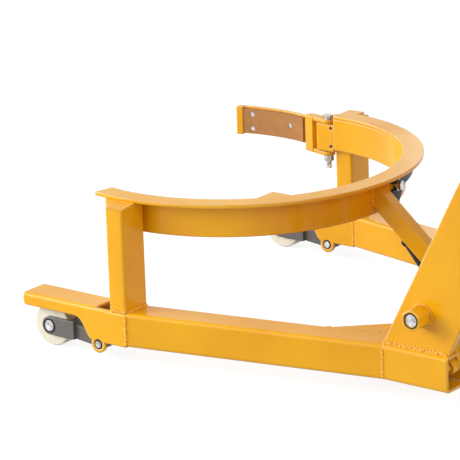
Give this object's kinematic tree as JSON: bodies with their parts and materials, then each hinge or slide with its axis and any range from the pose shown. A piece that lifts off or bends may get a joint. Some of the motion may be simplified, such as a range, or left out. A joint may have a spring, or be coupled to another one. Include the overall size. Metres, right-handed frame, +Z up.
{
  "type": "drum trolley",
  "caption": "Hydraulic drum trolley with a horseshoe cradle on low splayed legs, load rollers, a swinging clamp arm, and a steered pump with drawbar.",
  "frame": {"origin": "on the floor under the middle of the overall box", "axes": "+X towards the noses of the legs, +Y to the left, +Z up"},
  "size_m": [1.2582, 0.729, 1.1602],
  "materials": {
    "yellow_paint": "semi-gloss orange-yellow powder coat",
    "zinc_steel": "zinc plated",
    "black_paint": "satin black",
    "grey_paint": "satin dark grey",
    "cream_nylon": "cast nylon",
    "brown_pad": "matte friction lining",
    "black_rubber": "matte grip",
    "black_tyre": "solid rubber",
    "chrome_rod": "hard chrome"
  },
  "bodies": {
    "frame": {"nose_left": "yellow_paint", "nose_right": "yellow_paint", "leg_tube_left": "yellow_paint", "leg_tube_right": "yellow_paint", "leg_tail_left": "yellow_paint", "leg_tail_right": "yellow_paint", "post_left": "yellow_paint", "post_right": "yellow_paint", "cradle_web": "yellow_paint", "cradle_flange": "yellow_paint", "hinge_lug": "yellow_paint", "hinge_bolt": "zinc_steel", "strut": "yellow_paint", "cross_plate": "yellow_paint", "cross_beam": "yellow_paint", "side_plate_left": "yellow_paint", "side_plate_right": "yellow_paint", "shaft_bosses": "yellow_paint", "apron": "yellow_paint", "head_beam": "yellow_paint", "lift_ram": "chrome_rod", "link_boss": "yellow_paint", "linkage_bolts": "zinc_steel", "ear_bushes": "black_paint", "ear_pins": "zinc_steel"},
    "clamp": {"clamp_yoke": "yellow_paint", "clamp_arm": "yellow_paint", "clamp_pad": "brown_pad", "pad_rivets": "zinc_steel"},
    "clamp_rod": {"clamp_rod": "zinc_steel"},
    "link": {"link_bar": "black_paint"},
    "crank": {"clamp_crank": "black_paint"},
    "pull_rod": {"pull_rod": "black_paint"},
    "hand_lever": {"hand_lever": "black_paint", "lever_grip": "black_rubber"},
    "carriage": {"pump_carriage": "yellow_paint", "carriage_pins": "zinc_steel"},
    "pump": {"pump_body": "yellow_paint", "steer_axle": "zinc_steel", "drawbar_pin": "zinc_steel"},
    "drawbar": {"drawbar_base": "yellow_paint", "drawbar_tube": "yellow_paint", "handle_loop": "black_paint", "trigger_pin": "zinc_steel"},
    "trigger": {"release_lever": "black_paint"},
    "rocker": {"rocker_shaft": "zinc_steel", "rocker_arms": "yellow_paint", "swing_arms": "yellow_paint"},
    "roller_lever_left": {"roller_lever_left": "grey_paint", "roller_axle_left": "zinc_steel"},
    "load_roller_left": {"load_roller_left": "cream_nylon"},
    "push_rod_left": {"push_rod_left": "yellow_paint"},
    "steer_wheel_left": {"steer_wheel_left": "grey_paint", "steer_tyre_left": "black_tyre"},
    "roller_lever_right": {"roller_lever_right": "grey_paint", "roller_axle_right": "zinc_steel"},
    "load_roller_right": {"load_roller_right": "cream_nylon"},
    "push_rod_right": {"push_rod_right": "yellow_paint"},
    "steer_wheel_right": {"steer_wheel_right": "grey_paint", "steer_tyre_right": "black_tyre"}
  },
  "joints": [
    {"name": "clamp_swing", "type": "hinge", "parent": "frame", "child": "clamp", "pos_m": [0.40904, -0.302, 0.24], "axis": [0, 0, 1], "range_deg": [0, 30]},
    {"name": "clamp_rod_slide", "type": "slide", "parent": "frame", "child": "clamp_rod", "axis": [1, 0, 0], "range_m": [0, 0.01486]},
    {"name": "link_turn", "type": "hinge", "parent": "frame", "child": "link", "pos_m": [0.38704, 0, 0.245], "axis": [0, 0, 1], "range_deg": [0, 2.57]},
    {"name": "crank_turn", "type": "hinge", "parent": "frame", "child": "crank", "pos_m": [0.04679, -0.042, 0.1734], "axis": [0.6561, 0, -0.7547], "range_deg": [0, 22.97]},
    {"name": "pull_rod_slide", "type": "slide", "parent": "frame", "child": "pull_rod", "axis": [0.7547, 0, 0.6561], "range_m": [0, 0.00653]},
    {"name": "hand_lever_pivot", "type": "hinge", "parent": "frame", "child": "hand_lever", "pos_m": [-0.05081, 0, 0.13096], "axis": [0, -1, 0], "range_deg": [0, 9.28]},
    {"name": "lift", "type": "slide", "parent": "frame", "child": "carriage", "axis": [0, 0, -1], "range_m": [0, 0.09]},
    {"name": "steer_swivel", "type": "hinge", "parent": "carriage", "child": "pump", "pos_m": [-0.35796, 0, 0.198], "axis": [0, 0, 1], "range_deg": [-60, 60]},
    {"name": "drawbar_tilt", "type": "hinge", "parent": "pump", "child": "drawbar", "pos_m": [-0.42796, 0, 0.262], "axis": [0, -1, 0], "range_deg": [0, 68], "stiffness_Nm_per_rad": 30, "springref_deg": -20.05},
    {"name": "release_lever_pivot", "type": "hinge", "parent": "drawbar", "child": "trigger", "pos_m": [-0.59429, 0, 1.04452], "axis": [0, 1, 0], "range_deg": [-15, 15], "stiffness_Nm_per_rad": 0.5},
    {"name": "rocker_turn", "type": "hinge", "parent": "frame", "child": "rocker", "pos_m": [-0.16996, 0, 0.153], "axis": [0, 1, 0], "range_deg": [-26.94, 0]},
    {"name": "roller_lever_turn_left", "type": "hinge", "parent": "frame", "child": "roller_lever_left", "pos_m": [0.41904, 0.3335, 0.027], "axis": [0, 1, 0], "range_deg": [0, 48.72]},
    {"name": "load_roller_spin_left", "type": "hinge", "parent": "roller_lever_left", "child": "load_roller_left", "pos_m": [0.53404, 0.3335, 0.038], "axis": [0, 1, 0], "continuous": true},
    {"name": "push_rod_turn_left", "type": "hinge", "parent": "rocker", "child": "push_rod_left", "pos_m": [-0.20811, 0.232, 0.06731], "axis": [0, 1, 0], "range_deg": [0, 25.7]},
    {"name": "steer_wheel_spin_left", "type": "hinge", "parent": "pump", "child": "steer_wheel_left", "pos_m": [-0.35796, 0.051, 0.09], "axis": [0, 1, 0], "continuous": true},
    {"name": "roller_lever_turn_right", "type": "hinge", "parent": "frame", "child": "roller_lever_right", "pos_m": [0.41904, -0.3335, 0.027], "axis": [0, 1, 0], "range_deg": [0, 48.72]},
    {"name": "load_roller_spin_right", "type": "hinge", "parent": "roller_lever_right", "child": "load_roller_right", "pos_m": [0.53404, -0.3335, 0.038], "axis": [0, 1, 0], "continuous": true},
    {"name": "push_rod_turn_right", "type": "hinge", "parent": "rocker", "child": "push_rod_right", "pos_m": [-0.20811, -0.232, 0.06731], "axis": [0, 1, 0], "range_deg": [0, 25.7]},
    {"name": "steer_wheel_spin_right", "type": "hinge", "parent": "pump", "child": "steer_wheel_right", "pos_m": [-0.35796, -0.051, 0.09], "axis": [0, 1, 0], "continuous": true}
  ],
  "couplings": [
    {"joint": "clamp_rod_slide", "follows": "clamp_swing", "m_per_rad": 0.028363},
    {"joint": "link_turn", "follows": "clamp_swing", "ratio": 0.085692},
    {"joint": "crank_turn", "follows": "clamp_swing", "ratio": 0.76517},
    {"joint": "pull_rod_slide", "follows": "clamp_swing", "m_per_rad": 0.012463},
    {"joint": "hand_lever_pivot", "follows": "clamp_swing", "ratio": 0.30907},
    {"joint": "rocker_turn", "follows": "lift", "rad_per_m": -5.2209},
    {"joint": "roller_lever_turn_left", "follows": "lift", "rad_per_m": 9.444},
    {"joint": "push_rod_turn_left", "follows": "lift", "rad_per_m": 4.981},
    {"joint": "roller_lever_turn_right", "follows": "lift", "rad_per_m": 9.444},
    {"joint": "push_rod_turn_right", "follows": "lift", "rad_per_m": 4.981}
  ]
}
